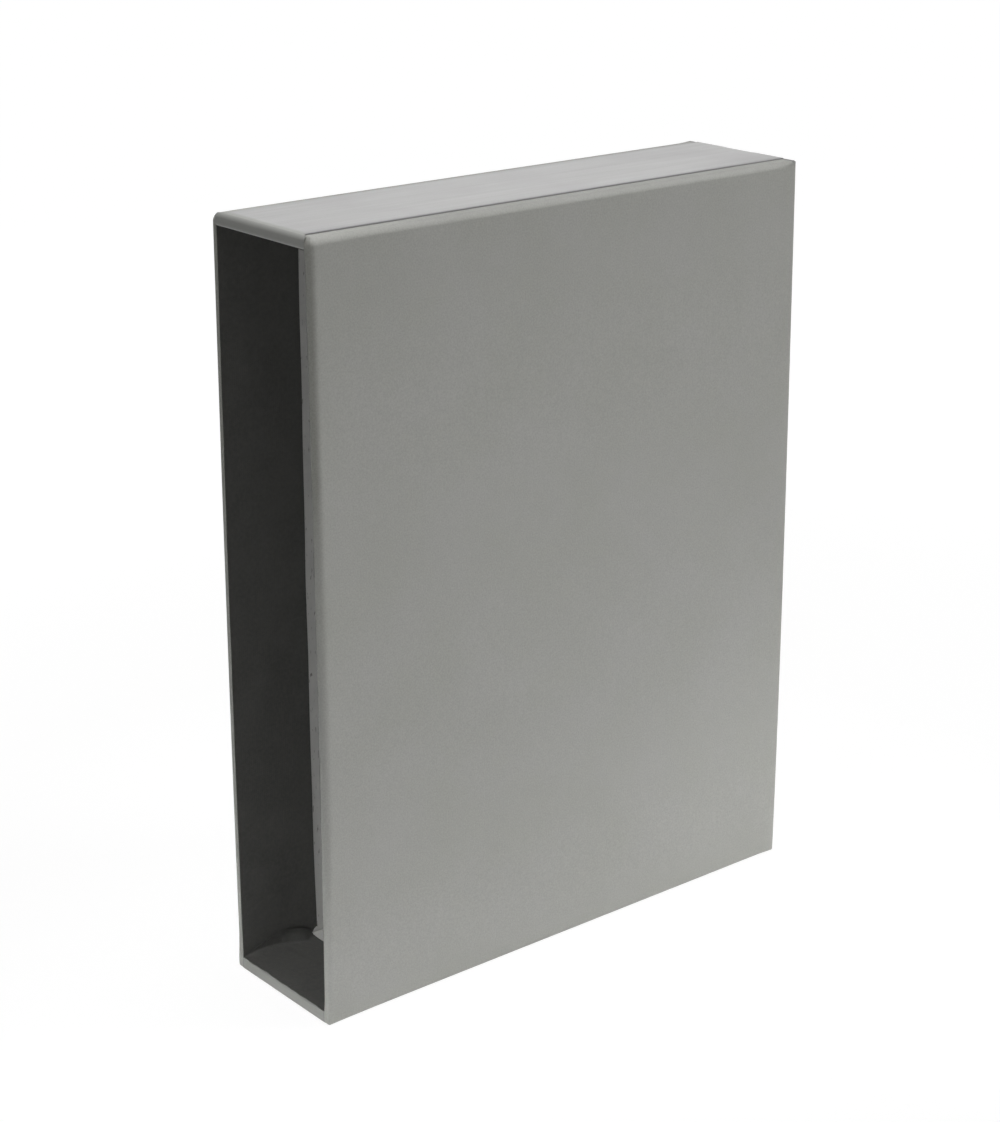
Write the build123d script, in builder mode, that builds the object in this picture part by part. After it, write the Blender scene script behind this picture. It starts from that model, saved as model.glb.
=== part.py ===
"""Slipcase for papers: a case of glued greyboard panels, covered, and open at one narrow side.

Millimetres. The mouth faces -Y, +Z is up, and the origin is the middle of the face it stands on.
The near side is the one at +X. Nothing on it moves: every piece is glued to its neighbours.
"""
from build123d import *
import os

os.makedirs("parts", exist_ok=True)

# Outside of the finished case
height = 320.0
depth = 250.0
width = 65.0

# Thickness of each material: the top and base panels are of a thicker board than the sides
board = 2.5
lid_board = 3.8
cover = 0.4
lining = 0.3

# Rounding of the bare boards, which the cover then follows
long_edge_round = 2.4
back_edge_round = 1.6
mouth_outer_round = 1.8
mouth_inner_round = 0.5
mouth_corner_round = 2.4
lip_edge_round = 2.6
lip_inner_round = 0.7

# Side cover: its width turned over onto the top and the base, and turned in at the mouth
turn_over = 24.0
side_turn_in = 18.0

# Top and base strips: margins that they leave bare, and their turn-in at the mouth
strip_side_margin = 5.5
strip_back_margin = 1.5
strip_turn_in = 15.0

# Dark lining strips just inside the mouth
lining_depth = 36.5
lining_margin = 0.8

# Tabs of the floor lining, turned up the side walls: heights over the lining, then the start and the
# shoulder from the mouth, and the crest and the end from the lining's deep edge
tab_shoulder_height = 4.9
tab_crest_height = 6.4
tab_end_height = 2.7
tab_start = 1.2
tab_shoulder = 14.0
tab_crest_margin = 9.5
tab_end_margin = 2.0

# Faces across the case
side_face = width / 2
side_outer = side_face - cover
side_inner = side_outer - board
turned_in_face = side_inner - cover
lined_face = turned_in_face - lining
tab_face = lined_face - lining
strip_half = side_face - strip_side_margin

# Faces from the mouth to the back
front = -depth / 2
back = depth / 2
board_front = front + cover
back_outer = back - cover
back_inner = back_outer - board
strip_back = back - strip_back_margin
side_step = front + side_turn_in
strip_step = front + strip_turn_in
lining_front = front + lining_margin
lining_back = front + lining_depth

# Faces from the base to the top
cover_low = cover
board_low = 2 * cover
base_top = board_low + lid_board
floor_face = base_top + cover
floor_lined = floor_face + lining
cover_high = height - cover
board_high = height - 2 * cover
lid_under = board_high - lid_board
ceiling_face = lid_under - cover

mouth_view = Plane.XZ
side_view = Plane.YZ
half_way_up = Plane.XY.offset(height / 2)
reach = max(width, depth, height)


def slab(x_span, y_span, z_span, mode=Mode.ADD):
    """Add or cut a box between pairs of faces."""
    with BuildSketch(Plane.XY.offset(z_span[0])) as outline:
        with Locations((sum(x_span) / 2, sum(y_span) / 2)):
            Rectangle(x_span[1] - x_span[0], y_span[1] - y_span[0])
    extrude(outline.sketch, amount=z_span[1] - z_span[0], mode=mode)


def trim(plane, u_span, v_span, corners, radius):
    """Keep what lies in a rectangle drawn on a plane, with the chosen corners rounded."""
    with BuildSketch(plane) as outline:
        with Locations((sum(u_span) / 2, sum(v_span) / 2)):
            Rectangle(u_span[1] - u_span[0], v_span[1] - v_span[0])
        fillet(corners(outline.vertices()), radius)
    extrude(outline.sketch, amount=reach, both=True, mode=Mode.INTERSECT)


def at_mouth(corners):
    """The corners nearest the mouth, of an outline seen from the side."""
    return corners.group_by(Axis.X)[0]


def mouth_top(corners):
    """The upper corner at the mouth, of an outline seen from the side."""
    return at_mouth(corners).sort_by(Axis.Y)[-1]


def mouth_bottom(corners):
    """The lower corner at the mouth, of an outline seen from the side."""
    return at_mouth(corners).sort_by(Axis.Y)[0]


def at_near_side(corners):
    """The corners nearest the near side, of an outline seen from the mouth."""
    return corners.group_by(Axis.X)[-1]


def at_wall_insides(corners):
    """The two inner corners of the walls' front edges, of an outline seen from above."""
    return corners.group_by(Axis.Y)[0].sort_by(Axis.X)[1:3]


def at_wall_outsides(corners):
    """The two outer corners of the walls' front edges, of an outline seen from above."""
    row = corners.group_by(Axis.Y)[0].sort_by(Axis.X)
    return [row[0], row[-1]]


def finish(piece, name):
    """Name a finished piece and write it."""
    piece.part.label = name
    export_step(piece.part, f"parts/{name}.step")
    print(name, len(piece.part.solids()), "solid,", round(piece.part.volume), "mm3")


# Near side panel: full height and depth, its outer edges and its mouth edge rounded
with BuildPart() as near_side_board:
    with BuildSketch(Plane.XY.offset(board_low)) as plan:
        with Locations(((side_inner + side_outer) / 2, (board_front + back_outer) / 2)):
            Rectangle(board, back_outer - board_front)
        fillet(plan.vertices().group_by(Axis.Y)[0].sort_by(Axis.X)[-1], mouth_outer_round)
        fillet(plan.vertices().group_by(Axis.Y)[0].sort_by(Axis.X)[0], mouth_inner_round)
        fillet(plan.vertices().group_by(Axis.Y)[-1].sort_by(Axis.X)[-1], back_edge_round)
    extrude(amount=board_high - board_low)
    trim(mouth_view, (side_inner, side_outer), (board_low, board_high), at_near_side, long_edge_round)
    trim(side_view, (board_front, back_outer), (board_low, board_high), at_mouth, mouth_corner_round)

# Far side panel
with BuildPart() as far_side_board:
    mirror(near_side_board.part, about=Plane.YZ)

# Back panel, held between the side panels
with BuildPart() as back_board:
    slab((-side_inner, side_inner), (back_inner, back_outer), (board_low, board_high))

# Top panel, between the sides and in front of the back, with its lip rounded
with BuildPart() as top_board:
    with BuildSketch(side_view.offset(-side_inner)) as section:
        with Locations(((board_front + back_inner) / 2, (lid_under + board_high) / 2)):
            Rectangle(back_inner - board_front, lid_board)
        fillet(mouth_bottom(section.vertices()), lip_inner_round)
        fillet(mouth_top(section.vertices()), lip_edge_round)
    extrude(amount=2 * side_inner)

# Base panel
with BuildPart() as base_board:
    mirror(top_board.part, about=half_way_up)

boards = [near_side_board, far_side_board, back_board, top_board, base_board]

# Side cover: one sheet round both sides and the back, turned over above and below, turned in at the mouth
with BuildPart() as side_cover:
    with BuildSketch(Plane.XY.offset(cover_low)) as plan:
        Rectangle(width, depth)
        with Locations((0, (front + side_step) / 2)):
            Rectangle(2 * turned_in_face, side_step - front, mode=Mode.SUBTRACT)
        with Locations((0, (side_step + back_inner) / 2)):
            Rectangle(2 * side_inner, back_inner - side_step, mode=Mode.SUBTRACT)
        fillet(at_wall_insides(plan.vertices()), mouth_inner_round + cover)
        fillet(at_wall_outsides(plan.vertices()), mouth_outer_round + cover)
        fillet(plan.vertices().group_by(Axis.Y)[-1], back_edge_round + cover)
    extrude(amount=cover_high - cover_low)
    for z_span in ((cover_low, board_low), (board_high, cover_high)):
        slab((-side_inner, side_inner), (board_front, back_inner), z_span)
    window_half = side_face - turn_over
    slab((-window_half, window_half), (front, back - turn_over), (0, height), Mode.SUBTRACT)
    for panel in boards:
        add(panel.part, mode=Mode.SUBTRACT)
    trim(mouth_view, (-side_face, side_face), (cover_low, cover_high), ShapeList, long_edge_round + cover)
    trim(side_view, (front, back), (cover_low, cover_high), at_mouth, mouth_corner_round + cover)

# Top strip: laid over the side cover's turned-over edges, round the lip and in under the top panel
with BuildPart() as top_strip:
    slab((-strip_half, strip_half), (front, strip_back), (board_high, height))
    lip_width = (-turned_in_face, turned_in_face)
    slab(lip_width, (front, board_front + lip_edge_round), (ceiling_face, cover_high))
    slab(lip_width, (front, strip_step), (ceiling_face, lid_under))
    for piece in boards + [side_cover]:
        add(piece.part, mode=Mode.SUBTRACT)
    trim(side_view, (front, back), (ceiling_face, height), mouth_top, lip_edge_round + 2 * cover)
    trim(side_view, (front, back), (ceiling_face, height), mouth_bottom, lip_inner_round + cover)

# Base strip
with BuildPart() as base_strip:
    mirror(top_strip.part, about=half_way_up)


def lining_corners(step):
    """Corners of a lining's section: u from the mouth, v from the turned-in cover towards the board."""
    return (
        (lining_front, 0),
        (step, 0),
        (step, cover),
        (lining_back, cover),
        (lining_back, cover - lining),
        (step + lining, cover - lining),
        (step + lining, -lining),
        (lining_front, -lining),
    )


# Lining of the near side wall
near_wall = Plane(origin=(turned_in_face, 0, ceiling_face), x_dir=(0, 1, 0), z_dir=(0, 0, -1))
with BuildPart() as near_wall_lining:
    with BuildSketch(near_wall):
        with BuildLine():
            Polyline(*lining_corners(side_step), close=True)
        make_face()
    extrude(amount=ceiling_face - floor_face)

# Lining of the far side wall
with BuildPart() as far_wall_lining:
    mirror(near_wall_lining.part, about=Plane.YZ)

# Lining under the top, between the wall linings
ceiling = Plane(origin=(-lined_face, 0, ceiling_face), x_dir=(0, 1, 0), z_dir=(1, 0, 0))
with BuildPart() as top_lining:
    with BuildSketch(ceiling):
        with BuildLine():
            Polyline(*lining_corners(strip_step), close=True)
        make_face()
    extrude(amount=2 * lined_face)

# Lining of the floor: the same strip, with a tab turned up each side wall
with BuildPart() as floor_lining:
    mirror(top_lining.part, about=half_way_up)
    low_end = (front + tab_start, floor_lined)
    shoulder = (front + tab_shoulder, floor_lined + tab_shoulder_height)
    crest = (lining_back - tab_crest_margin, floor_lined + tab_crest_height)
    deep_end = (lining_back - tab_end_margin, floor_lined + tab_end_height)
    for wall in (side_view.offset(tab_face), side_view.offset(-lined_face)):
        with BuildSketch(wall):
            with BuildLine():
                ThreePointArc(low_end, shoulder, crest)
                TangentArc(crest, deep_end, tangent=(1, 0))
                Polyline(
                    deep_end,
                    (deep_end[0], base_top),
                    (strip_step, base_top),
                    (strip_step, floor_face),
                    (low_end[0], floor_face),
                    low_end,
                )
            make_face()
        extrude(amount=lining)

finish(near_side_board, "near_side_board")
finish(far_side_board, "far_side_board")
finish(back_board, "back_board")
finish(top_board, "top_board")
finish(base_board, "base_board")
finish(side_cover, "side_cover")
finish(top_strip, "top_strip")
finish(base_strip, "base_strip")
finish(near_wall_lining, "near_wall_lining")
finish(far_wall_lining, "far_wall_lining")
finish(top_lining, "top_lining")
finish(floor_lining, "floor_lining")
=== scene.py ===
# %% [markdown]
# A slipcase for papers, dressed over its frame
#
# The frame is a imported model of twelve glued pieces: five boards, a side cover, a top and a base strip
# and four dark linings. This lesson dresses it. The top, base and back boards stay as they are and
# only get a greyboard finish. Every covering sheet is built again as a thin bent sheet, because a real
# sheet shows soft folds, a cut edge that stands up a little and the steps of what lies under it. The
# two side boards are built again too, because they bow with their cover.

import math

import bmesh
import bpy
import numpy as np
from mathutils import Matrix, Vector


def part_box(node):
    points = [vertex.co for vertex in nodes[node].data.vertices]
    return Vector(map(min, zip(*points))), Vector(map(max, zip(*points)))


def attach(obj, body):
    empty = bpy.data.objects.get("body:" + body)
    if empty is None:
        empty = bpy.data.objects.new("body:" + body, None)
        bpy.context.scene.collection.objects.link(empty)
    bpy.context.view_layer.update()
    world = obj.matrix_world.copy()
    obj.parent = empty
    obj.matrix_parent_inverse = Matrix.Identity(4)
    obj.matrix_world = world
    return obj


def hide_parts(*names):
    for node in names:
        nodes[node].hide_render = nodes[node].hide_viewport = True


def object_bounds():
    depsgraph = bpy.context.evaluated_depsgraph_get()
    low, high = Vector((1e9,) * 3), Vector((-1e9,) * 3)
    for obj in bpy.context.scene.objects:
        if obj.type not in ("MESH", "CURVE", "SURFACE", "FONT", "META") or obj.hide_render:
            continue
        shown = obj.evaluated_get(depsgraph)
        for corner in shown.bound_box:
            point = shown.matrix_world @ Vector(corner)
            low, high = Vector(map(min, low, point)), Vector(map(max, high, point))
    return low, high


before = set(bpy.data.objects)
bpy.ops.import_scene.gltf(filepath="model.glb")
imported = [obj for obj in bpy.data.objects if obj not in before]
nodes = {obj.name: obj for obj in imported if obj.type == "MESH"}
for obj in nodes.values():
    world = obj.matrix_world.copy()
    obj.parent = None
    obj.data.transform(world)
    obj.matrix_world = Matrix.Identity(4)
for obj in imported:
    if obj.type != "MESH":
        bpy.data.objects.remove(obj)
cad_box = [[float(v) for v in corner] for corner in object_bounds()]
MM = 0.001
print("frame box in mm", [[round(v / MM, 2) for v in corner] for corner in cad_box])

# %% [markdown]
# The measures of the case
#
# Every sheet has to lie on its board, so the faces are read from the frame's boxes and not typed in
# again. What the frame's boxes don't give is named here once: how wide the sheets are turned over and
# in, how far the walls bow, and the radius that the outside of a sheet takes at each edge.

# %% Faces of the case, read from the frame
side_face = cad_box[1][0]
mouth = cad_box[0][1]
back = cad_box[1][1]
top = cad_box[1][2]
cover_low, cover_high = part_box("side_cover")[0].z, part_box("side_cover")[1].z
board_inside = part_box("near_side_board")[0].x
cover = top - cover_high
lining = 0.3 * MM
turned_in_face = board_inside - cover
lined_face = turned_in_face - lining
wall = side_face - turned_in_face
floor_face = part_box("base_strip")[1].z
ceiling_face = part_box("top_strip")[0].z
strip_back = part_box("top_strip")[1].y
print("wall %.1f mm, lip %.1f mm, cover %.1f mm" % (wall / MM, floor_face / MM, cover / MM))

# %% Widths and roundings of the sheets
turn_over = 24 * MM
side_turn_in = 18 * MM
strip_turn_in = 15 * MM
strip_half = side_face - 6.3 * MM
wall_bow = 1.0 * MM

top_edge_round = 2.8 * MM
top_mouth_round = 3.4 * MM
base_edge_round = 1.5 * MM
base_mouth_round = 0.6 * MM
back_corner_round = 0.8 * MM
back_edge_round = 0.9 * MM
mouth_edge_round = 2.2 * MM
mouth_side_round = 3.7 * MM
base_corner_round = 0.8 * MM
inner_arris_round = 0.7 * MM
lip_top_round = 1.9 * MM
base_lip_round = 1.0 * MM
lip_under_round = 0.7 * MM
print("strips %.1f mm wide, walls bow %.1f mm" % (2 * strip_half / MM, wall_bow / MM))

# %% [markdown]
# The camera
#
# The photograph looks at the near side and a little down, with a long lens. A camera is set up by its
# place, its turn round the upright, its tilt and its focal length in pixels of a picture of 1000 by
# 1122. The lens's own middle lies a little above the middle of the picture, as when a picture has been
# cropped, so the camera has a small shift.

# %% Camera at the photograph's viewing angle
picture_width, picture_height = 1000, 1122
focal_px = 2466.8
view_azimuth, view_elevation, view_roll = 50.684, 17.690, -0.089
camera_place = (752.33 * MM, -623.42 * MM, 503.10 * MM)
middle_of_lens_px = (505, 490)

camera_data = bpy.data.cameras.new("view_camera")
camera = bpy.data.objects.new("view_camera", camera_data)
bpy.context.scene.collection.objects.link(camera)
longer_side = max(picture_width, picture_height)
camera_data.sensor_width = 36.0
camera_data.lens = focal_px / longer_side * camera_data.sensor_width
camera_data.shift_x = (picture_width / 2 - middle_of_lens_px[0]) / longer_side
camera_data.shift_y = (middle_of_lens_px[1] - picture_height / 2) / longer_side
azimuth, elevation = math.radians(view_azimuth), math.radians(view_elevation)
backwards = Vector(
    (
        math.sin(azimuth) * math.cos(elevation),
        -math.cos(azimuth) * math.cos(elevation),
        math.sin(elevation),
    )
)
right = Vector((0, 0, 1)).cross(backwards).normalized()
upwards = backwards.cross(right)
turned = Matrix((right, upwards, backwards)).transposed()
turned = turned @ Matrix.Rotation(math.radians(view_roll), 3, "Z")
camera.matrix_world = Matrix.Translation(camera_place) @ turned.to_4x4()
camera_data.clip_start, camera_data.clip_end = 0.01, 50
bpy.context.scene.camera = camera
shift = (camera_data.shift_x, camera_data.shift_y)
print("lens %.1f mm, shift %.3f %.3f" % (camera_data.lens, *shift))

# %% [markdown]
# Bending a sheet round an edge
#
# A folded sheet could be made with bevels, but where three folds of different width meet, a bevel
# leaves odd faces. Here the sheet is first laid out sharp, and a formula then bends it: each point
# keeps its way along the sheet, and the part near the edge moves onto an arc. The same formula works
# for points inside the corner, on smaller arcs, so two folds can follow each other.

# %% The bending formula
smallest_arc = 1e-9


def round_corner(a, b, radius):
    """Bend an L of two faces onto an arc.

    a and b are how far each point lies inside the two faces. The smaller one says which inner L the
    point is on, and that L's arc has the radius less this depth. The way along the L, a less b, is
    the angle on the arc as long as it is within one radius of the corner.
    """
    depth = np.minimum(a, b)
    arc = np.maximum(radius - depth, smallest_arc)
    along = a - b
    angle = (np.clip(along / arc, -1, 1) + 1) * math.pi / 4
    bent_a = depth + arc * (1 - np.cos(angle)) + np.maximum(along - arc, 0)
    bent_b = depth + arc * (1 - np.sin(angle)) + np.maximum(-along - arc, 0)
    return bent_a, bent_b


print("a sharp corner rounded by 1 moves in by %.3f" % round_corner(0.0, 0.0, 1.0)[0])

# %% [markdown]
# Small formulas that every sheet uses
#
# An easing makes one width run softly into another. A run of numbers gives the rows and columns of a
# grid, closer together where the sheet bends. A ripple keeps a cut edge from being dead straight. A
# bell curve says how near a fold a point is, and the finishes read it later as wear.


# %% Easing, spacing, ripples and folds
def smooth(value):
    """Ease from 0 to 1: three times the square less twice the cube, flat at both ends."""
    t = np.clip(value, 0, 1)
    return t * t * (3 - 2 * t)


def spaced(start, *runs):
    """Numbers from start through each run's end, in that run's count of equal steps."""
    parts = [np.array([start], float)]
    for end, count in runs:
        parts.append(np.linspace(parts[-1][-1], end, count + 1)[1:])
    return np.concatenate(parts)


def ripple(along, seed, size, *waves):
    """A slow unevenness: a sum of sine waves of the given lengths, each with its own random phase."""
    phases = np.random.default_rng(seed).uniform(0, 2 * math.pi, len(waves))
    total = sum(np.sin(2 * math.pi * along / w + p) for w, p in zip(waves, phases))
    return size * total / len(waves)


def fold_nearness(to_one, to_other, width):
    """1 on a fold and less away from it: a bell curve over the summed ways to its two faces."""
    return np.exp(-(((to_one + to_other) / width) ** 2))


print("two runs of steps", spaced(0, (1, 2), (4, 3)))

# %% [markdown]
# From grids of points to a mesh
#
# Every sheet below is one or more grids of points. This helper turns grids into quads, joins the grids
# where their borders meet and gives the sheet its thickness with a Solidify modifier. The side that
# shows is the outer side, so the thickness goes inwards. A mirrored grid would be inside out, so the
# caller says which grids to flip. A point may have a fourth number, a mark from 0 to 1, which is kept
# as the attribute fold: it says how much the finish changes there.

# %% The sheet maker
weld_distance = 0.004 * MM
sliver_length = 0.001 * MM
sharp_from = math.radians(50)


def quads(rows, columns, first, flip):
    """Corner numbers of the quads between neighbouring rows and columns of a grid."""
    corner = np.arange(rows * columns).reshape(rows, columns) + first
    ring = [corner[:-1, :-1], corner[1:, :-1], corner[1:, 1:], corner[:-1, 1:]]
    faces = np.stack([r.ravel() for r in ring], 1)
    return faces[:, ::-1] if flip else faces


def make_sheet(name, grids, thickness):
    """A thin sheet from (points, flip) grids, with the points' marks as an attribute."""
    points, faces, marks, first = [], [], [], 0
    for grid, flip in grids:
        rows, columns = grid.shape[:2]
        points.append(grid[..., :3].reshape(-1, 3))
        marks.append(grid[..., 3].ravel() if grid.shape[2] > 3 else np.zeros(rows * columns))
        faces.append(quads(rows, columns, first, flip))
        first += rows * columns
    points, faces, marks = np.concatenate(points), np.concatenate(faces), np.concatenate(marks)
    mesh = bpy.data.meshes.new(name)
    mesh.from_pydata(points.tolist(), [], faces.tolist())
    kept_marks = mesh.attributes.new("fold", "FLOAT", "POINT")
    kept_marks.data.foreach_set("value", marks.astype(np.float32))
    joined = bmesh.new()
    joined.from_mesh(mesh)
    bmesh.ops.remove_doubles(joined, verts=joined.verts, dist=weld_distance)
    bmesh.ops.dissolve_degenerate(joined, edges=joined.edges, dist=sliver_length)
    joined.to_mesh(mesh)
    joined.free()
    mesh.polygons.foreach_set("use_smooth", [True] * len(mesh.polygons))
    piece = bpy.data.objects.new(name, mesh)
    bpy.context.scene.collection.objects.link(piece)
    thick = piece.modifiers.new("thickness", "SOLIDIFY")
    thick.thickness = thickness
    thick.offset = -1
    sharp = piece.modifiers.new("cut_edges", "EDGE_SPLIT")
    sharp.split_angle = sharp_from
    print(name, len(mesh.vertices), "points", len(mesh.polygons), "faces")
    return piece


# %% [markdown]
# The side cover
#
# One sheet goes round the near side, the back and the far side. It is turned over onto the top and the
# base, and in round the front edges of both walls. The frame's solid has the right size, but its
# folds are even and its faces dead flat. Here the sheet is laid out on the sharp box, and each point
# is bent twice: first over the long edge, then round the upright edge. The walls also bow out, by a
# millimetre a little below half way up, as covered boards do.

# %% How the walls bow and the long edges are rounded
crest_power = 0.75
mouth_zone = 12 * MM
back_zone = 9 * MM


def bowed(height):
    """How far a wall bows out at a height: a half sine wave over a power of the height's share.

    The power is below one, which puts the crest a little below the middle.
    """
    return wall_bow * np.sin(math.pi * np.clip(height / top, 0, 1) ** crest_power)


def edge_round(y, z):
    """Radius of the long edges: widest at the mouth's top, small at the base and the back corners.

    From its value at the mouth the radius runs to the one along the edge as an exponential, and it
    eases into the one at the back corners.
    """
    near_mouth = np.exp(-(y - mouth) / mouth_zone)
    upper = top_edge_round + (top_mouth_round - top_edge_round) * near_mouth
    lower = base_edge_round + (base_mouth_round - base_edge_round) * near_mouth
    radius = np.where(z > top / 2, upper, lower)
    return back_corner_round + (radius - back_corner_round) * smooth((back - y) / back_zone)


at_mouth_mm = (edge_round(mouth, top) / MM, edge_round(mouth, 0) / MM)
print("long edges at the mouth rounded by %.1f mm above and %.1f mm below" % at_mouth_mm)

# %% Points of the side cover
upright_fold_width, edge_fold_width = 2.2 * MM, 1.6 * MM
edge_wear, top_corner_wear, top_corner_zone = 0.5, 0.8, 5 * MM
set_back, set_back_zone, beside_lip = 0.3 * MM, 2 * MM, 0.4 * MM
base_zone_from, base_zone = 2 * MM, 14 * MM
ellipse_zone = 0.3 * top


def lay_cover(x, y, z):
    """Bend points of the sharp box onto the rounded case, and mark how near a fold each one is.

    The distances to the side, to the mouth or back and to the top or base are found first. The nearer
    upright face and the top or base are rounded into each other, and what that moved the point is
    passed on to the other upright face, fading over one wall. Then the upright edge is rounded, at the
    mouth on an ellipse that is longer along the side, and less near the base. Beside the lips the
    mouth's edge is set back a little, under the strips. The upright folds are marked all along the
    back, at the mouth only near the top corner, and the long edges are marked half as much.
    """
    to_side = side_face - np.abs(x)
    to_end = np.minimum(y - mouth, back - y)
    to_flat = np.minimum(z - cover_low, cover_high - z)
    at_mouth = y < 0
    depth = np.minimum(to_side, to_end)
    moved, flat = round_corner(depth, to_flat, edge_round(y, z))
    shift = moved - depth
    side = to_side + shift * np.clip(1 - (to_side - depth) / wall, 0, 1)
    end = to_end + shift * np.clip(1 - (to_end - depth) / wall, 0, 1)
    above_base = smooth((z - base_zone_from) / base_zone)
    mouth_round = base_corner_round + (mouth_edge_round - base_corner_round) * above_base
    upright_round = np.where(at_mouth, mouth_round, back_edge_round)
    longer = 1 + (mouth_side_round / mouth_edge_round - 1) * smooth(z / ellipse_zone)
    longer = np.where(at_mouth, longer, 1)
    side, end = round_corner(side, end / longer, upright_round)
    end = end * longer
    under_strip = smooth((to_side - wall) / beside_lip) * np.exp(-to_end / set_back_zone)
    end = end + set_back * np.where(at_mouth, under_strip, 0)
    way = np.sign(x) * (side_face - side)
    height = np.where(z < top / 2, cover_low + flat, cover_high - flat)
    outer = np.clip(1 - to_side / wall, 0, 1)
    way = way + np.sign(x) * bowed(height) * outer
    deep = np.where(at_mouth, mouth + end, back - end)
    near_top = top_corner_wear * np.exp(-(cover_high - z) / top_corner_zone)
    fold = fold_nearness(to_side, to_end, upright_fold_width) * np.where(at_mouth, near_top, 1)
    for upright in (to_side, to_end):
        fold = np.maximum(fold, edge_wear * fold_nearness(upright, to_flat, edge_fold_width))
    return np.stack([way, deep, height, fold], -1)


# %% Rows and columns of the outside
wall_steps, rim_steps = 12, 4
rim = 7 * MM
near_corner = 4 * MM
in_from_edge = spaced(0, (wall, wall_steps), (rim, rim_steps), (turn_over, 10))
end_zone = spaced(0, (floor_face - cover_low, 16))
low_rows, high_rows = cover_low + end_zone, (cover_high - end_zone)[::-1]
middle_rows = spaced(floor_face, (ceiling_face, 60))
up_the_face = np.concatenate([low_rows, middle_rows[1:-1], high_rows])[1:-1]
inset = np.concatenate([in_from_edge[::-1], np.zeros(len(up_the_face)), in_from_edge])[:, None]
turned_over_low = np.full(len(in_from_edge), cover_low)
turned_over_high = np.full(len(in_from_edge), cover_high)
height = np.concatenate([turned_over_low, up_the_face, turned_over_high])[:, None]
along_side = spaced(mouth, (mouth + rim, 20), (back - near_corner, 50), (back, 12))
to_near_corner, to_far_corner = side_face - near_corner, -side_face + near_corner
across_back = spaced(side_face, (to_near_corner, 12), (to_far_corner, 16), (-side_face, 12))
print("rows", len(height), "columns", len(along_side), "and", len(across_back))

# %% The outside of the near side, the far side and the back
side_y = mouth + (along_side[None, :] - mouth) * (back - inset - mouth) / (back - mouth)
side_x = np.broadcast_to(side_face - inset, side_y.shape)
side_z = np.broadcast_to(height, side_y.shape)
near_outside = lay_cover(side_x, side_y, side_z)
far_outside = lay_cover(-side_x, side_y, side_z)
back_x = across_back[None, :] * (side_face - inset) / side_face
back_y = np.broadcast_to(back - inset, back_x.shape)
back_z = np.broadcast_to(height, back_x.shape)
back_outside = lay_cover(back_x, back_y, back_z)
print("outside grids", near_outside.shape, back_outside.shape)

# %% The front edges of the walls and the turned-in part
arris_zone = 1.2 * MM
arris_ends = 1.5 * MM
arris_fold_width = 1.0 * MM
# painted highlight on the lower part of the inner arris, where bounced light from the ground falls
highlight_below, highlight_fading = 0.38 * top, 0.15 * top


def front_edge(heights, in_from_side, deep_in):
    """A wall's front edge, then its inner face for those rows that have one.

    The inner arris is rounded, less so at its two ends. Its lower part is marked for a painted
    highlight.
    """
    across = np.concatenate([in_from_side, np.full(len(deep_in), in_from_side[-1])])
    deep = np.concatenate([np.zeros(len(in_from_side)), deep_in])
    from_side, z = np.meshgrid(across, heights)
    from_mouth = np.broadcast_to(deep[None, :], from_side.shape)
    grid = lay_cover(side_face - from_side, mouth + np.zeros_like(from_side), z)
    if len(deep_in):
        ends = np.minimum(z - floor_face, ceiling_face - z)
        soft = inner_arris_round * smooth(ends / arris_ends)
        inner, end = round_corner(np.maximum(wall - from_side, 0), from_mouth, soft)
        near_inside = wall - from_side < arris_zone
        pushed = bowed(z) * np.clip(from_side / wall, 0, 1)
        grid[..., 0] = np.where(near_inside, turned_in_face + inner, grid[..., 0]) + pushed
        grid[..., 1] = np.where(near_inside, mouth + end, grid[..., 1])
        arris_highlight = smooth((highlight_below - z) / highlight_fading)
        arris_highlight = arris_highlight * fold_nearness(wall - from_side, from_mouth, arris_fold_width)
        grid[..., 3] = np.maximum(grid[..., 3], arris_highlight)
    return grid


def mirrored(grid):
    """The same grid on the other side of the case."""
    other = grid.copy()
    other[..., 0] *= -1
    return other


# %% Join the side cover
across_wall = in_from_edge[: wall_steps + 1]
across_corner = in_from_edge[: wall_steps + rim_steps + 1]
turned_in = spaced(0, (arris_zone, 8), (side_turn_in, 12))[1:]
not_turned_in = np.array([])
wall_front = front_edge(middle_rows, across_wall, turned_in)
base_corner = front_edge(low_rows, across_corner, not_turned_in)
top_corner = front_edge(high_rows, across_corner, not_turned_in)
cover_grids = [(near_outside, True), (far_outside, False), (back_outside, True)]
for grid in (wall_front, base_corner, top_corner):
    cover_grids += [(grid, False), (mirrored(grid), True)]
side_cover = make_sheet("side_cover_sheet", cover_grids, 0.9 * cover)

# %% [markdown]
# The side boards
#
# The two side boards bow with the cover that is glued to them. A thin panel bends evenly, so a grid
# over the board's inner face is moved by the same half sine wave, and Solidify gives it the board's
# thickness. Its outer corners stay a little short of the cover's folds, which no eye can see.

# %% Bowed side boards
short_of_mouth = 2.8 * MM
short_of_fold = 2.2 * MM
panel = 0.98 * (side_face - cover - board_inside)


def lay_board():
    """The board's inner face as a grid, moved out by the bow of its height."""
    deep = spaced(mouth + short_of_mouth, (back - short_of_fold, 30))
    heights = spaced(short_of_fold, (top - short_of_fold, 60))
    y, z = np.meshgrid(deep, heights)
    return np.stack([board_inside + bowed(z), y, z], -1)


near_board = make_sheet("near_side_panel", [(lay_board(), False)], panel)
far_board = make_sheet("far_side_panel", [(mirrored(lay_board()), True)], panel)

# %% [markdown]
# The top and base strips
#
# A strip is glued over the turned-over edges, wrapped round the lip of the board and stuck down inside.
# It is narrower than the case, so a rim of the side cover shows beside it, and it widens at the lip to
# meet the walls. One grid follows the strip's way from the back margin to the end of its turn-in.

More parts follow.
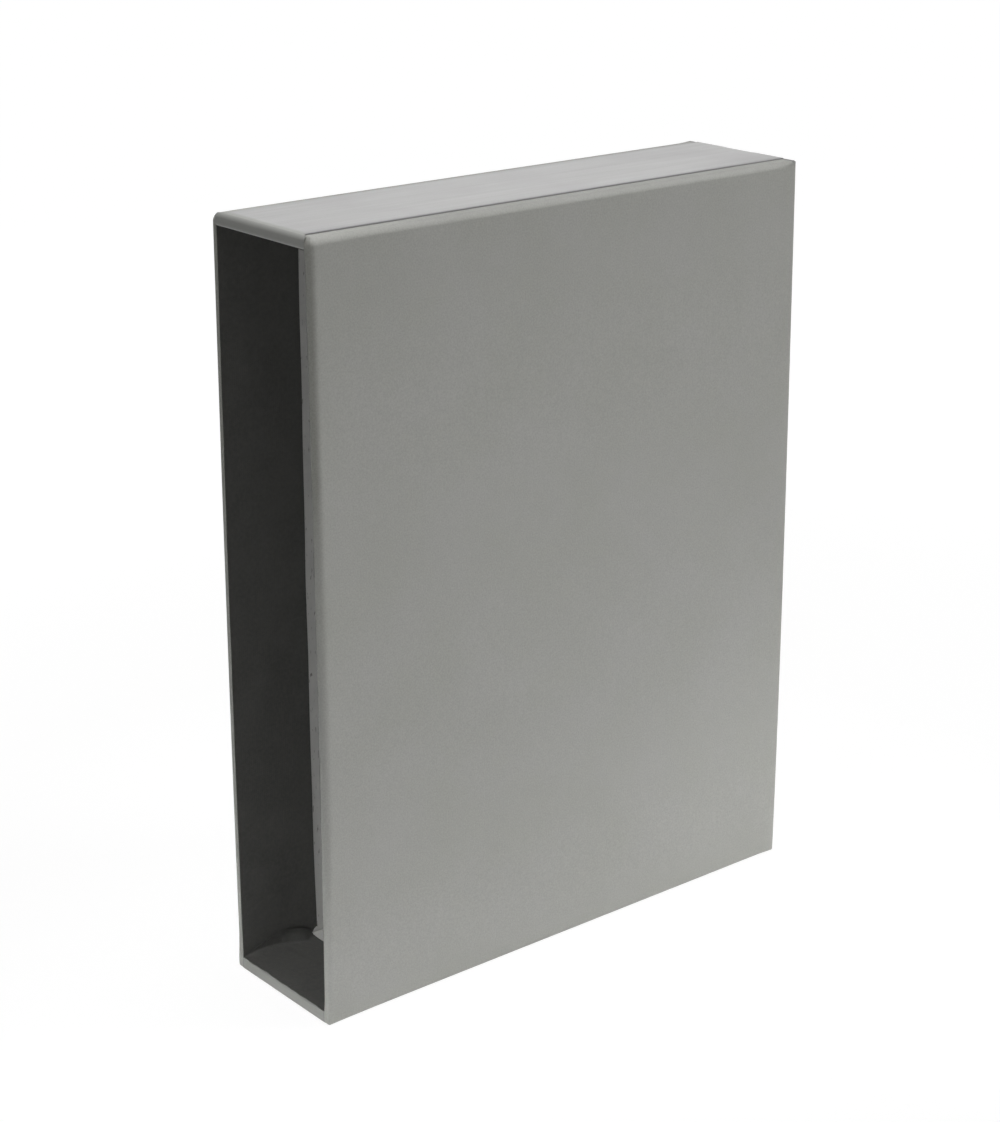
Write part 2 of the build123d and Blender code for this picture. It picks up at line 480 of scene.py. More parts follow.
# %% Points of a strip
sunk_where_bare = 0.12 * MM
lip_fold_width = 0.7 * MM
lip_zone, round_zone, under_zone = 30 * MM, 6 * MM, 2 * MM
rounds_meet_below = 0.4 * MM
widens_from, widens_over = 0.4 * MM, 2.6 * MM
flat_from, flat_over = 3 * MM, 3 * MM
step_half = 1 * MM


def lay_strip(upper):
    """A strip as a grid: rows run from the back margin round the lip, columns run across it.

    The way is laid sharp along the top, down the lip and in below it, and rounded at both corners of
    the lip. Where no turned-over sheet lies under it, the strip sinks by a tenth of a millimetre or
    so. Beside the case's long edges it drops by what their arc falls away there. The mark is a bell
    curve along the top lip's lower corner, where the finish paints a highlight, and nothing on the base
    strip.
    """
    lip = floor_face
    over = spaced(strip_back - mouth, (lip_zone, 60), (round_zone, 20), (0, 24))
    down = spaced(0, (lip, 24))[1:]
    under = spaced(0, (under_zone, 10), (strip_turn_in, 8))[1:]
    from_mouth = np.concatenate([over, np.zeros(len(down)), under])
    below = np.concatenate([np.zeros(len(over)), down, np.full(len(under), lip)])
    outer_round = lip_top_round if upper else base_lip_round
    in_a, in_b = round_corner(from_mouth, below, np.full_like(below, outer_round))
    out_a, out_b = round_corner(from_mouth, lip - below, np.full_like(below, lip_under_round))
    upper_part = below < lip / 2 + rounds_meet_below
    from_mouth_bent = np.where(upper_part, in_a, out_a)
    below_bent = np.where(upper_part, in_b, lip - out_b)
    at_lip = smooth(1 - (from_mouth - widens_from) / widens_over)
    half = strip_half + (turned_in_face - strip_half) * at_lip
    half = np.where(below > 0, turned_in_face, half)
    share_across = spaced(-1, (-0.97, 3), (-0.3, 18), (0.3, 16), (0.97, 18), (1, 3))
    x = half[:, None] * share_across[None, :]
    y = np.broadcast_to((mouth + from_mouth_bent)[:, None], x.shape).copy()
    drop = np.broadcast_to(below_bent[:, None], x.shape).copy()
    on_flat = smooth((from_mouth[:, None] - flat_from) / flat_over) * (below[:, None] == 0)
    bare_half = side_face - turn_over
    on_cover = smooth((np.abs(x) - bare_half + step_half) / (2 * step_half))
    drop += sunk_where_bare * on_flat * (1 - on_cover)
    radius = edge_round(y, np.full_like(x, top if upper else 0))
    short = np.maximum(radius - (side_face - np.abs(x)), 0)
    falls_away = radius - np.sqrt(radius**2 - short**2)
    drop += falls_away * np.clip(1 - below_bent[:, None] / lip, 0, 1)
    z = top - drop if upper else drop
    fold = fold_nearness(from_mouth, np.abs(lip - below), lip_fold_width) if upper else 0 * below
    fold = np.broadcast_to(fold[:, None], x.shape)
    return np.stack([x, y, z, fold], -1)


top_strip = make_sheet("top_strip_sheet", [(lay_strip(True), False)], 0.9 * cover)
base_strip = make_sheet("base_strip_sheet", [(lay_strip(False), True)], 0.9 * cover)

# %% [markdown]
# The linings of the walls and of the top
#
# Inside the mouth a band of dark cloth hides the ends of the turned-in sheets. It is flat work, but
# not perfectly flat: it steps down where the sheet under it ends, and its cut edges waver a
# little. The wall bands follow the bow of the walls. Their lowest deep corners are clipped.

# %% Wall linings
band_depth = 37.8 * MM
band_start = 0.45 * MM
cloth_thickness = 0.9 * lining
cloth_waves = 0.02 * MM
edge_zone, front_waver, end_waver = 6 * MM, 0.1 * MM, 0.25 * MM
before_step, after_step = 1 * MM, 1.4 * MM
ease_ahead, ease_over = 3 * MM, 15 * MM
corner_clip, clip_ahead, clip_over = 2.2 * MM, 2.4 * MM, 1.6 * MM


def lay_wall_band(seed):
    """A wall's band: rows up the wall, columns from the mouth inwards.

    Both cut edges are moved by ripples that fade over the zone beside them. The face follows the
    wall's bow, and eases back towards the board by the cover's thickness where the sheet under it
    ends.
    """
    step_in, step_out = side_turn_in - before_step, side_turn_in + after_step
    deep = spaced(0, (step_in, 18), (step_out, 10), (band_depth, 24))
    heights = spaced(floor_face, (floor_face + 4 * MM, 10), (ceiling_face, 70))
    from_mouth, z = np.meshgrid(deep, heights)
    near_front = np.clip(1 - from_mouth / edge_zone, 0, 1)
    near_end = np.clip(1 - (band_depth - from_mouth) / edge_zone, 0, 1)
    front_line = band_start + ripple(z, seed, front_waver, 0.21, 0.083, 0.031)
    end_line = ripple(z, seed + 1, end_waver, 0.34, 0.11, 0.06)
    step = cover * smooth((from_mouth - side_turn_in + ease_ahead) / ease_over)
    x = lined_face + step + bowed(z)
    x += ripple(z + 0.4 * from_mouth, seed + 2, cloth_waves, 0.05, 0.028)
    clipped = corner_clip * smooth((from_mouth - band_depth + clip_ahead) / clip_over)
    z = np.maximum(z, floor_face + clipped)
    y = mouth + from_mouth + front_line * near_front + end_line * near_end
    return np.stack([x, y, z], -1)


near_band = make_sheet("near_wall_cloth", [(lay_wall_band(11), False)], cloth_thickness)
far_band = make_sheet("far_wall_cloth", [(mirrored(lay_wall_band(21)), True)], cloth_thickness)


# %% Top lining
def lay_top_band():
    """The top's band: a flat grid that eases up by the cover's thickness where the strip ends."""
    across = spaced(-lined_face, (lined_face, 40))
    step_in, step_out = strip_turn_in - before_step, strip_turn_in + after_step
    deep = spaced(band_start, (step_in, 14), (step_out, 10), (band_depth, 20))
    x, from_mouth = np.meshgrid(across, deep)
    z = ceiling_face - lining + cover * smooth((from_mouth - strip_turn_in) / (1.2 * MM))
    z += ripple(x + 0.3 * from_mouth, 31, cloth_waves, 0.04, 0.023)
    return np.stack([x, mouth + from_mouth, z], -1)


top_band = make_sheet("top_cloth", [(lay_top_band(), False)], cloth_thickness)

# %% [markdown]
# The lining of the floor
#
# The floor's band is the same cloth, cut wider than the floor, with its sides turned up the walls as
# rounded tabs. A tab rises from nothing at the mouth to its crest half way in, and drops again to the
# deep end. Its fold isn't pressed into the corner: near the mouth it sits a little up the wall, and
# deeper in it runs out over the floor, so the tab leans. The sheet is drawn across from the wall to the
# fold and from the fold to the floor, and the step of the sheet under it shows through.

# %% Sizes of the floor lining
floor_band_depth = 34.4 * MM
crest_in, tab_crest = 21 * MM, 5.9 * MM
tab_end_in, tab_end_high = 33.8 * MM, 1.9 * MM
tab_end_run = 0.5 * MM
tab_least, upper_share, full_tab, edge_off_wall = 0.05 * MM, 0.35, 4 * MM, 0.35 * MM
fold_crest, fold_off_least = 1.5 * MM, 0.2 * MM
cove_spread, cove_least = 1.6, 0.6 * MM
lean_from, lean_run, lean_out = 18 * MM, 11.5 * MM, 4.9 * MM
back_from, back_run, back_in = 29 * MM, 4 * MM, 1.6 * MM
step_past, step_slant, step_run = 1.6 * MM, 0.12, 4 * MM
beside_walls, front_zone, floor_waver = 6 * MM, 8 * MM, 0.3 * MM
mark_from, mark_over = 17 * MM, 5 * MM
mark_above, mark_rise = 0.1 * MM, 0.8 * MM
print("tab %.1f mm high, its crest %.1f mm in" % (tab_crest / MM, crest_in / MM))


# %% Points of the floor lining
def lay_floor_band():
    """Rows run inwards from the mouth, columns run down one tab, across the floor and up the other.

    The tab's height is a quarter of a sine wave up to the crest and a parabola down from it. The fold's
    height over the floor is a half sine wave, and its distance from the wall eases from small to some
    millimetres and back a little. Across, the way is a straight tab, whose upper edge stands a little
    off the wall, then a cove whose height falls as the square of the way left, then the flat floor. The
    sheet under it ends a little askew. The mark, for a painted shade, is 1 on the leaning part of the
    tabs, eased in along the way from the mouth and up from the floor.
    """
    tab_face = lined_face - lining
    floor_top = floor_face + lining
    tab_gone = tab_end_in + tab_end_run
    deep = spaced(0, (2 * MM, 8), (tab_end_in, 50), (tab_gone, 4), (floor_band_depth, 4))
    to_crest = np.clip(deep / crest_in, 0, 1)
    past_crest = np.clip((deep - crest_in) / (tab_end_in - crest_in), 0, 1)
    rise = tab_crest * np.sin(math.pi / 2 * to_crest)
    fall = (tab_crest - tab_end_high) * past_crest**2
    kept = 1 - smooth((deep - tab_end_in) / tab_end_run)
    tab_high = np.maximum((rise - fall) * kept, tab_least)[:, None]
    fold_high = fold_crest * np.sin(math.pi * to_crest) ** 0.8
    fold_high = np.minimum(fold_high[:, None], 0.8 * tab_high)
    out = lean_out * smooth((deep - lean_from) / lean_run)
    out = out - back_in * smooth((deep - back_from) / back_run)
    fold_off = ((fold_off_least + out) * kept)[:, None]
    cove_wide = cove_spread * fold_high + cove_least
    share = np.linspace(0, 1, 14)[None, :-1]
    off_wall = edge_off_wall * (1 - smooth(share / upper_share)) * smooth(tab_high / full_tab)
    tab_a = fold_off * share + off_wall
    tab_b = fold_high + (tab_high - fold_high) * (1 - share)
    cove_a = fold_off + cove_wide * share
    cove_b = fold_high * (1 - share) ** 2
    flat_start = fold_off + cove_wide
    flat_a = flat_start + (tab_face - flat_start) * np.linspace(0, 1, 40)[None, :]
    half_a = np.concatenate([tab_a, cove_a, flat_a], 1)
    half_b = np.concatenate([tab_b, cove_b, np.zeros_like(flat_a)], 1)
    far_x = half_a - tab_face
    x = np.concatenate([far_x, -far_x[:, -2::-1]], 1)
    risen = np.concatenate([half_b, half_b[:, -2::-1]], 1)
    from_mouth = np.broadcast_to(deep[:, None], x.shape)
    on_floor = smooth((tab_face - np.abs(x)) / beside_walls)
    askew = strip_turn_in + step_past + step_slant * (x + tab_face)
    z = floor_top + risen - cover * smooth((from_mouth - askew) / step_run) * on_floor
    z += ripple(x + 0.5 * from_mouth, 41, 2 * cloth_waves, 0.037, 0.019) * on_floor
    front = band_start + ripple(x, 43, floor_waver, 0.031, 0.017, 0.007)
    front = front * np.clip(1 - from_mouth / front_zone, 0, 1)
    # painted shade on the leaning part of the tabs, which the light from above catches
    deep_in = smooth((from_mouth - mark_from) / mark_over)
    tab_painted_shade = deep_in * smooth((risen - mark_above) / mark_rise)
    return np.stack([x, mouth + from_mouth + front, z, tab_painted_shade], -1)


floor_band = make_sheet("floor_cloth", [(lay_floor_band(), True)], cloth_thickness)

# %% [markdown]
# Nodes for the finishes
#
# A finish is a small tree of nodes that ends in one shader. A few helpers keep the recipes short: one
# adds a node with its settings, others work out a value, stretch it to a range or mix two colours. All
# patterns read Object coordinates, in metres, so they stay on the piece from every side.


# %% Small helpers for node trees
def fill(tree, node, inputs):
    """Set or link a node's inputs, by name or number."""
    for key, value in inputs.items():
        if isinstance(value, bpy.types.NodeSocket):
            tree.links.new(value, node.inputs[key])
        else:
            node.inputs[key].default_value = value


def add(tree, kind, inputs=None, **settings):
    """Add a node, set its properties, then fill its inputs."""
    node = tree.nodes.new(kind)
    for key, value in settings.items():
        setattr(node, key, value)
    fill(tree, node, inputs or {})
    return node


def empty_tree(owner):
    """The cleared node tree of a material or a world."""
    owner.use_nodes = True
    owner.node_tree.nodes.clear()
    return owner.node_tree


def new_finish(name):
    """An empty finish with a Principled shader wired to its output."""
    finish = bpy.data.materials.new(name)
    tree = empty_tree(finish)
    shader = add(tree, "ShaderNodeBsdfPrincipled")
    add(tree, "ShaderNodeOutputMaterial", {"Surface": shader.outputs["BSDF"]})
    return finish, tree, shader


# %% Helpers for patterns and marks
def place_of(tree, scale=(1, 1, 1)):
    """Object coordinates, stretched."""
    source = add(tree, "ShaderNodeTexCoord").outputs["Object"]
    return add(tree, "ShaderNodeMapping", {"Vector": source, "Scale": scale}).outputs["Vector"]


def noise(tree, place, scale, detail=2.0, rough=0.5):
    """A noise texture's value at a scale of so many spots per metre."""
    inputs = {"Vector": place, "Scale": scale, "Detail": detail, "Roughness": rough}
    return add(tree, "ShaderNodeTexNoise", inputs).outputs["Fac"]


def worked(tree, how, *values):
    """What Blender's Math node makes of one or two values, given or linked."""
    return add(tree, "ShaderNodeMath", dict(enumerate(values)), operation=how).outputs[0]


def ranged(tree, value, low, high, to_low=0.0, to_high=1.0):
    """Stretch a value from one range to another, and hold it inside."""
    ends = {"From Min": low, "From Max": high, "To Min": to_low, "To Max": to_high}
    return add(tree, "ShaderNodeMapRange", {"Value": value, **ends}).outputs["Result"]


def mark_of(tree):
    """The mark from 0 to 1 that the sheet maker keeps for each point."""
    return add(tree, "ShaderNodeAttribute", attribute_name="fold").outputs["Fac"]


def bumped(tree, value, strength, depth):
    """A bump of a given depth in metres."""
    inputs = {"Height": value, "Strength": strength, "Distance": depth}
    return add(tree, "ShaderNodeBump", inputs).outputs["Normal"]


# %% Helpers for colours
def grey(level):
    """A grey of one level."""
    return (level, level, level, 1)


def mixed(tree, share, one, other, how="MIX"):
    """Mix two colours, given or linked, by a share."""
    share_input, first_colour, second_colour, colour_output = 0, 6, 7, 2
    inputs = {share_input: share, first_colour: one, second_colour: other}
    node = add(tree, "ShaderNodeMix", inputs, data_type="RGBA", blend_type=how)
    return node.outputs[colour_output]


def toned(tree, colour, pattern, swing):
    """A colour made darker and lighter by a pattern from 0 to 1, by a swing each way."""
    tone = mixed(tree, pattern, grey(1 - swing), grey(1 + swing))
    return mixed(tree, 1.0, colour, tone, "MULTIPLY")


# %% [markdown]
# The covering paper of the sides
#
# Up close the cover is a matt grey paper, warm and a touch green, with a fine grain that runs no
# way in particular, a faint mottle, cloudy patches a few centimetres wide, and a paler rub along its
# folds, which on the lower part of the walls' inner arrises is a painted highlight. At the top's back
# corners, where folds of the paper meet, a painted shade draws a dark crease from the strip to the
# case's corner. The rim beside the top strip has a painted shadow at the seam, and a painted shade
# that grows from near the mouth towards the back. The walls' front edges get a painted shade in their
# upper part. Each of these is a mask, made of ranges over the coordinates.

# %% Side cover paper, its grain, its worn folds and a painted highlight
finish, tree, shader = new_finish("side_cover_paper")
place = place_of(tree)
clouds = ranged(tree, noise(tree, place, 26, 3), 0.35, 0.65)
paper = mixed(tree, clouds, (0.392, 0.395, 0.368, 1), (0.404, 0.405, 0.384, 1))
grain = noise(tree, place, 1500, 3, 0.6)
paper = toned(tree, paper, ranged(tree, grain, 0.3, 0.7), swing=0.09)
mottle = noise(tree, place, 260, 2)
paper = toned(tree, paper, ranged(tree, mottle, 0.3, 0.7), swing=0.014)
# paler rub along the folds: wear, and a painted highlight on the lower inner arrises
rub_and_painted_highlight = worked(tree, "MULTIPLY", mark_of(tree), noise(tree, place, 220, 3))
paper = mixed(tree, ranged(tree, rub_and_painted_highlight, 0.1, 0.8, 0, 0.5), paper, (0.47, 0.47, 0.45, 1))
print("grain and folds take", len(tree.nodes), "nodes")

# %% Side cover painted shade beside the strip and on the front edges
parts = add(tree, "ShaderNodeSeparateXYZ", {"Vector": place})
across_x, along_y, up_z = (parts.outputs[axis] for axis in "XYZ")
aside = worked(tree, "ABSOLUTE", across_x)
# painted shade: a dark crease where the folds meet at the top's back corners, and a painted shadow
# beside the strip's edge
crease_y = ranged(tree, aside, strip_half, side_face, strip_back - 0.2 * MM, back - 1.3 * MM)
off_line = worked(tree, "ABSOLUTE", worked(tree, "SUBTRACT", along_y, crease_y))
crease_painted_shade = ranged(tree, off_line, 0.9 * MM, 1.5 * MM, 0.85, 0)
rim_seam_shadow = ranged(tree, aside, strip_half + 0.2 * MM, strip_half + 1.0 * MM, 0.6, 0)
on_top = ranged(tree, up_z, top - 1.4 * MM, top - 0.9 * MM)
beside = ranged(tree, aside, strip_half - 0.2 * MM, strip_half)
on_rim = worked(tree, "MULTIPLY", on_top, beside)
painted_shade_and_dark_marks = worked(tree, "MULTIPLY", worked(tree, "MAXIMUM", crease_painted_shade, rim_seam_shadow), on_rim)
# painted shade on the top's rounded rim, growing from near the mouth towards the back
on_round = ranged(tree, up_z, top - 2.8 * MM, top - 0.6 * MM)
far_in = ranged(tree, along_y, mouth + 5 * MM, mouth + 70 * MM, 0, 0.33)
rim_painted_shade = worked(tree, "MULTIPLY", on_round, far_in)
painted_shade_and_dark_marks = worked(tree, "MAXIMUM", painted_shade_and_dark_marks, rim_painted_shade)
paper = mixed(tree, painted_shade_and_dark_marks, paper, (0.15, 0.15, 0.147, 1))
# painted shade on the upper part of the walls' front edges, where less bounced light reaches
front_painted_shade = ranged(tree, along_y, mouth + 2.8 * MM, mouth + 0.8 * MM)
upper_part = ranged(tree, up_z, 0.58 * top, 0.70 * top)
front_painted_shade = worked(tree, "MULTIPLY", front_painted_shade, upper_part)
paper = mixed(tree, front_painted_shade, paper, (0.81, 0.81, 0.79, 1), "MULTIPLY")
gloss = ranged(tree, noise(tree, place, 60, 2), 0.3, 0.7, 0.52, 0.64)
relief = bumped(tree, grain, 0.35, 0.06 * MM)
fill(tree, shader, {"Base Color": paper, "Roughness": gloss, "Normal": relief})
fill(tree, shader, {"Specular IOR Level": 0.2})
side_cover_paper = finish
print("made", finish.name, len(tree.nodes), "nodes")

# %% [markdown]
# The covering paper of the strips
#
# The strips are of a similar paper, painted paler and cooler than the sides for part of the light from
# above, with long faint streaks from the mouth to the back, and a painted shade round the lips. A
# painted shadow at their cut edges draws the seam line beside them, more so on the near side. The last
# millimetres before the edge are darker, and so is a patch at the near back corner. The ends of the
# base's lip are dark, and a painted highlight lies on the fold under the top's lip.

# %% Strip paper, its streaks and the painted shade on its lips
finish, tree, shader = new_finish("strip_cover_paper")
place = place_of(tree)
long_way = place_of(tree, scale=(1, 0.045, 1))
streaks = ranged(tree, noise(tree, long_way, 420, 3, 0.6), 0.3, 0.7)
# paler and cooler than the side paper: partly painted light, for the cool light falling on the top
paper = mixed(tree, streaks, (0.430, 0.429, 0.425, 1), (0.474, 0.471, 0.470, 1))
blots = ranged(tree, noise(tree, place, 34, 2), 0.45, 0.75)
paper = mixed(tree, blots, paper, (0.428, 0.422, 0.424, 1))
grain = noise(tree, place, 1500, 3, 0.6)
paper = toned(tree, paper, ranged(tree, grain, 0.3, 0.7), swing=0.035)
parts = add(tree, "ShaderNodeSeparateXYZ", {"Vector": place})
across_x, along_y, up_z = (parts.outputs[axis] for axis in "XYZ")
aside = worked(tree, "ABSOLUTE", across_x)
# painted shade on the lips, which face away from the light from above
lip_painted_shade = ranged(tree, along_y, mouth + 5.4 * MM, mouth + 3.0 * MM)
paper = mixed(tree, lip_painted_shade, paper, (0.342, 0.345, 0.327, 1))
print("streaks and lips take", len(tree.nodes), "nodes")

# %% Strip marks: a painted shadow at the edges, the lip's ends and the near back corner
behind_lip = ranged(tree, along_y, mouth + 1.6 * MM, mouth + 4.6 * MM)
# darker over the last millimetres before the edge, over a wider span deeper in
darkening_at_mouth, darkening_far_in = strip_half - 6 * MM, strip_half - 3.6 * MM
darkening_start = ranged(tree, along_y, mouth, mouth + 60 * MM, darkening_at_mouth, darkening_far_in)
darker_before_edge = ranged(tree, aside, darkening_start, strip_half - 0.8 * MM, 0, 0.3)
# painted shadow of the strip's edge step, stronger on the near side
edge_painted_shadow = ranged(tree, aside, strip_half - 2.3 * MM, strip_half - 0.8 * MM, 0, 0.75)
edge_painted_shadow = worked(tree, "MAXIMUM", darker_before_edge, edge_painted_shadow)
one_side = ranged(tree, across_x, -strip_half, 0, 0.25, 1)
strip_seam_shadow = worked(tree, "MULTIPLY", worked(tree, "MULTIPLY", behind_lip, edge_painted_shadow), one_side)
on_base_lip = ranged(tree, up_z, floor_face + 2 * MM, floor_face + 1 * MM)
lip_end = ranged(tree, aside, turned_in_face - 0.9 * MM, turned_in_face - 0.3 * MM, 0, 0.4)
lip_end = worked(tree, "MULTIPLY", on_base_lip, lip_end)
painted_shade_and_dark_marks = worked(tree, "MAXIMUM", strip_seam_shadow, lip_end)
paper = mixed(tree, painted_shade_and_dark_marks, paper, (0.16, 0.16, 0.165, 1))
# a darker patch at the near back corner
near_seam = ranged(tree, across_x, strip_half - 18 * MM, strip_half - 6 * MM)
near_back = ranged(tree, along_y, back - 50 * MM, back - 16 * MM, 0, 0.36)
patch = worked(tree, "MULTIPLY", near_seam, near_back)
paper = mixed(tree, patch, paper, grey(0.32))
# painted highlight on the fold under the top's lip, where light from the ground falls
lip_fold_highlight = ranged(tree, mark_of(tree), 0, 1, 0, 0.7)
paper = mixed(tree, lip_fold_highlight, paper, (0.72, 0.72, 0.71, 1))
gloss = ranged(tree, noise(tree, long_way, 200, 2), 0.3, 0.7, 0.45, 0.6)
relief = bumped(tree, grain, 0.3, 0.05 * MM)
fill(tree, shader, {"Base Color": paper, "Roughness": gloss, "Normal": relief})
fill(tree, shader, {"Specular IOR Level": 0.2})
strip_cover_paper = finish
print("made", finish.name, len(tree.nodes), "nodes")

# %% [markdown]
# Greyboard and lining cloth
#
# Bare greyboard is pressed waste paper: mid grey, with darker and paler fibres. The lining is a thin
# dark cloth with a fine weave, which shows as a faint cross of threads, and with paler lint on it. A
# painted shade darkens the leaning part of the floor band's tabs.

# %% Greyboard finish
finish, tree, shader = new_finish("greyboard_bare")
place = place_of(tree)
pulp = ranged(tree, noise(tree, place, 90, 4, 0.6), 0.3, 0.7)
board_tone = mixed(tree, pulp, (0.60, 0.60, 0.582, 1), (0.67, 0.67, 0.647, 1))
fibres = ranged(tree, noise(tree, place_of(tree, (1, 1, 0.2)), 1300, 2), 0.66, 0.72)
board_tone = mixed(tree, fibres, board_tone, (0.27, 0.265, 0.25, 1))
relief = bumped(tree, noise(tree, place, 900, 4), 0.4, 0.08 * MM)
fill(tree, shader, {"Base Color": board_tone, "Normal": relief})
fill(tree, shader, {"Roughness": 0.85, "Specular IOR Level": 0.2})
greyboard_bare = finish
print("made", finish.name, len(tree.nodes), "nodes")

# %% Lining cloth finish
finish, tree, shader = new_finish("dark_lining_cloth")
place = place_of(tree)
wave = {"Vector": place, "Scale": 330, "Distortion": 2.5, "Detail": 2.0, "Detail Scale": 3.0}
threads = [
    add(tree, "ShaderNodeTexWave", wave, wave_type="BANDS", bands_direction=axis).outputs["Fac"]
    for axis in "XYZ"
]
weave = worked(tree, "ADD", worked(tree, "ADD", threads[1], threads[2]), threads[0])
fuzz = ranged(tree, noise(tree, place, 55, 3), 0.35, 0.65)
dark = mixed(tree, fuzz, (0.078, 0.078, 0.074, 1), (0.090, 0.090, 0.085, 1))
lint = ranged(tree, noise(tree, place, 700, 4, 0.65), 0.35, 0.7, 0, 0.4)
dark = mixed(tree, lint, dark, (0.128, 0.128, 0.119, 1))
dark = mixed(tree, ranged(tree, weave, 0.5, 2.5, 0, 0.1), dark, (0.110, 0.110, 0.103, 1))
# painted shade on the leaning part of the floor band's tabs
dark = mixed(tree, mark_of(tree), dark, grey(0.66), "MULTIPLY")
relief = bumped(tree, weave, 0.3, 0.05 * MM)
fill(tree, shader, {"Base Color": dark, "Normal": relief})
fill(tree, shader, {"Roughness": 0.8, "Specular IOR Level": 0.25})
dark_lining_cloth = finish
print("made", finish.name, len(tree.nodes), "nodes")

# %% [markdown]
# Dressing the frame
#
# Every sheet takes the place of its frame node and rides with the case's one body, and so do the two
# bowed side boards. The top, base and back boards stay, and only their finish changes.

# %% Give each piece its finish and its node
dressed = (
    (side_cover, side_cover_paper, "side_cover", ["side_cover"]),
    (top_strip, strip_cover_paper, "strip_cover", ["top_strip"]),
    (base_strip, strip_cover_paper, "strip_cover", ["base_strip"]),
    (near_band, dark_lining_cloth, "dark_lining", ["near_wall_lining"]),
    (far_band, dark_lining_cloth, "dark_lining", ["far_wall_lining"]),
    (top_band, dark_lining_cloth, "dark_lining", ["top_lining"]),
    (floor_band, dark_lining_cloth, "dark_lining", ["floor_lining"]),
    (near_board, greyboard_bare, "greyboard", ["near_side_board"]),
    (far_board, greyboard_bare, "greyboard", ["far_side_board"]),
)
for piece, finish, slot, replaced in dressed:
    piece.data.materials.append(finish)
    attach(piece, "root")
    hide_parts(*replaced)
    print(piece.name, "takes the place of", ", ".join(replaced))

# %% Give the boards that stay their finish
for name in ("back_board", "top_board", "base_board"):
    for material_slot in nodes[name].material_slots:
        material_slot.material = greyboard_bare
    print(name, "stays, with", len(nodes[name].material_slots), "finish")

# %% [markdown]
# The linings as cloth
#
# The four dark bands are the only cloth on the case. Each was cut flat and glued down, which keeps it
# taut. A band's printed size is the one it was cut to: its way from the mouth inwards, with the step
# over the sheet's end, by its way up or across. The floor's band is cut round at its tabs, so its area
# is measured on the sheet before it gets its thickness.


def cut_area(piece):
    """The area of a sheet in square metres: the sum of its faces' areas."""
    areas = np.empty(len(piece.data.polygons))
    piece.data.polygons.foreach_get("area", areas)
    return float(areas.sum())


wall_cut = (ceiling_face - floor_face, band_depth - band_start + cover)
top_cut = (2 * lined_face, band_depth - band_start + cover)
floor_cut = (2 * (lined_face + tab_crest), floor_band_depth - band_start + cover)
cut_area(floor_band)
for piece, cut in ((near_band, wall_cut), (top_band, top_cut), (floor_band, floor_cut)):
    measures = (cut[0] / MM, cut[1] / MM, cut_area(piece) / MM**2)
    print(piece.name, "cut to %.1f by %.1f mm, area %.0f mm2" % measures)

# %% [markdown]
# The ground
#
# The photograph has a plain white ground with no shadow to speak of. The floor is a real white floor,
# so it throws light back up at the case, but the camera sees it almost as pure white with only a
# trace of shadow. Near the case its glow is a little weaker. The air round it is nearly dark to the
# case, and white to the camera.

# %% The floor's sheet
reach = 8
floor_points = [(-reach, -reach, 0), (reach, -reach, 0), (reach, reach, 0), (-reach, reach, 0)]
floor_mesh = bpy.data.meshes.new("studio_floor")
floor_mesh.from_pydata(floor_points, [], [(0, 1, 2, 3)])
floor = bpy.data.objects.new("studio_floor", floor_mesh)
bpy.context.scene.collection.objects.link(floor)
print("floor", 2 * reach, "m wide")


# %% What the camera sees and what lights the case
def seen_directly(tree):
    """1 for rays from the camera, from a mirror or through glass, and 0 for light that bounces."""
    rays = add(tree, "ShaderNodeLightPath").outputs
    first = worked(tree, "MAXIMUM", rays["Is Camera Ray"], rays["Is Glossy Ray"])
    return worked(tree, "MAXIMUM", first, rays["Is Transmission Ray"])


def lit_and_shown(tree, lighting, shown, output):
    """Light the case with one shader and show the camera another."""
    inputs = {0: seen_directly(tree), 1: lighting.outputs[0], 2: shown.outputs[0]}
    choice = add(tree, "ShaderNodeMixShader", inputs)
    add(tree, output, {"Surface": choice.outputs[0]})


# %% Finish of the floor, and the air
ground = bpy.data.materials.new("white_ground")
tree = empty_tree(ground)
bouncing = add(tree, "ShaderNodeBsdfDiffuse", {"Color": grey(0.82)})
shadowed = add(tree, "ShaderNodeBsdfDiffuse", {"Color": grey(0.08)})
spot = add(tree, "ShaderNodeTexCoord").outputs["Object"]
away = add(tree, "ShaderNodeVectorMath", {0: spot}, operation="LENGTH").outputs["Value"]
strength = ranged(tree, away, 0.3, 0.7, 0.94, 1.0)
glow = add(tree, "ShaderNodeEmission", {"Color": grey(1), "Strength": strength})
both = add(tree, "ShaderNodeAddShader", {0: shadowed.outputs[0], 1: glow.outputs[0]})
lit_and_shown(tree, bouncing, both, "ShaderNodeOutputMaterial")
floor_mesh.materials.append(ground)

world = bpy.data.worlds.new("studio_air")
bpy.context.scene.world = world
tree = empty_tree(world)
dim = add(tree, "ShaderNodeBackground", {"Color": grey(1), "Strength": 0.02})
white = add(tree, "ShaderNodeBackground", {"Color": grey(1), "Strength": 1.0})
lit_and_shown(tree, dim, white, "ShaderNodeOutputWorld")
print("made", ground.name, "and", world.name)

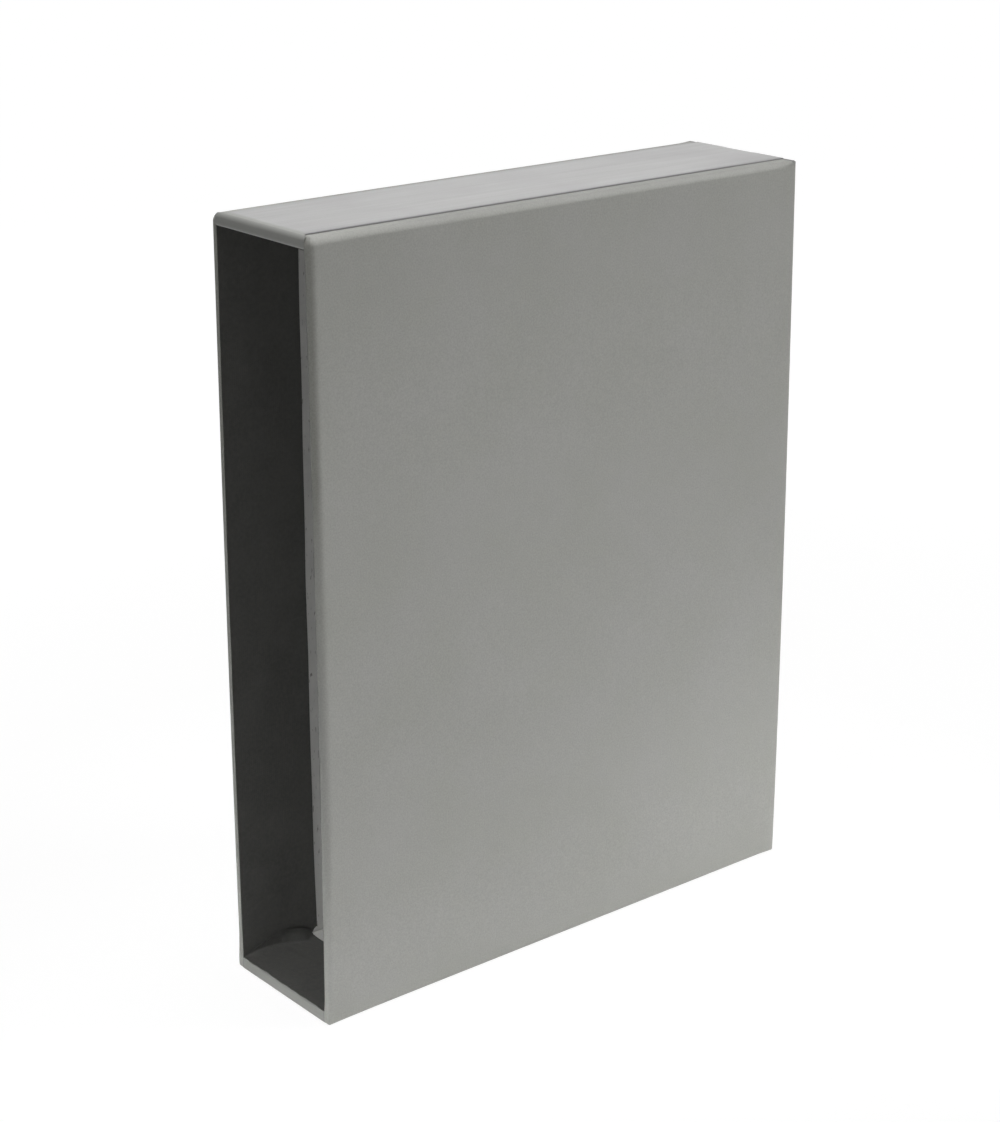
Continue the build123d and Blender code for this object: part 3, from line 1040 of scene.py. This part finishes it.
# %% [markdown]
# The light
#
# Most of the light falls from above, so the top is bright and the mouth dim. A second lamp above
# the front reaches the lip. One at the back right and one at the front right share the near side
# between them, and a soft one fills from the far side. Two narrow lamps light pools on the floor, and
# these throw light up at the near side and into the mouth, so both are darker at the top, as the
# bright ground made them. Two more stand low and light the base's lip and the near side's low back
# corner. All but the one on the far side have grids, which keep their light on the case: a lit floor
# would make the mouth too bright.


# %% Lamps
def soft_lamp(name, place, aim, size, watts, spread=180):
    """A square lamp that shines from a place towards a point and isn't seen itself."""
    data = bpy.data.lights.new(name, "AREA")
    data.shape, data.size, data.energy = "SQUARE", size, watts
    data.spread = math.radians(spread)
    lamp = bpy.data.objects.new(name, data)
    lamp.location = place
    lamp.rotation_euler = (Vector(aim) - Vector(place)).to_track_quat("-Z", "Y").to_euler()
    lamp.visible_camera = False
    bpy.context.scene.collection.objects.link(lamp)
    print(name, "at", place, "with", watts, "W")


lamp_high, lamp_low, case_middle = 1.5, 0.06, 0.15
soft_lamp("lamp_above", (0, 0.1, lamp_high), (0, 0.1, 0), 0.5, 0.56, spread=40)
soft_lamp("lamp_above_front", (0.1, -0.42, lamp_high), (0, -0.1, 0), 0.3, 0.17, spread=30)
soft_lamp("lamp_back_right", (0.8, 1.2, 0.9), (0.03, 0, case_middle), 0.5, 1.05, spread=40)
soft_lamp("lamp_front_right", (1.35, -1.35, 0.45), (0, -0.1, case_middle), 0.4, 0.35, spread=40)
soft_lamp("lamp_left", (-1.4, 0.1, 0.45), (0, 0, case_middle), 0.6, 5.0)
soft_lamp("pool_right", (0.2, 0.17, 1.4), (0.2, 0.17, 0), 0.1, 0.15, spread=10)
soft_lamp("pool_front", (0, -0.9, 1.2), (0, -0.25, 0), 0.1, 0.035, spread=14)
soft_lamp("low_front", (0.15, -1.3, lamp_low), (0, -0.12, 0), 0.1, 0.011, spread=8)
soft_lamp("low_right", (0.95, 0.85, lamp_low), (0.03, 0.15, 0.01), 0.1, 0.018, spread=14)

# %% [markdown]
# Colours as written
#
# The view transform is set to Standard, so that a colour renders as it is written.

# %% Finish
bpy.context.scene.view_settings.view_transform = "Standard"
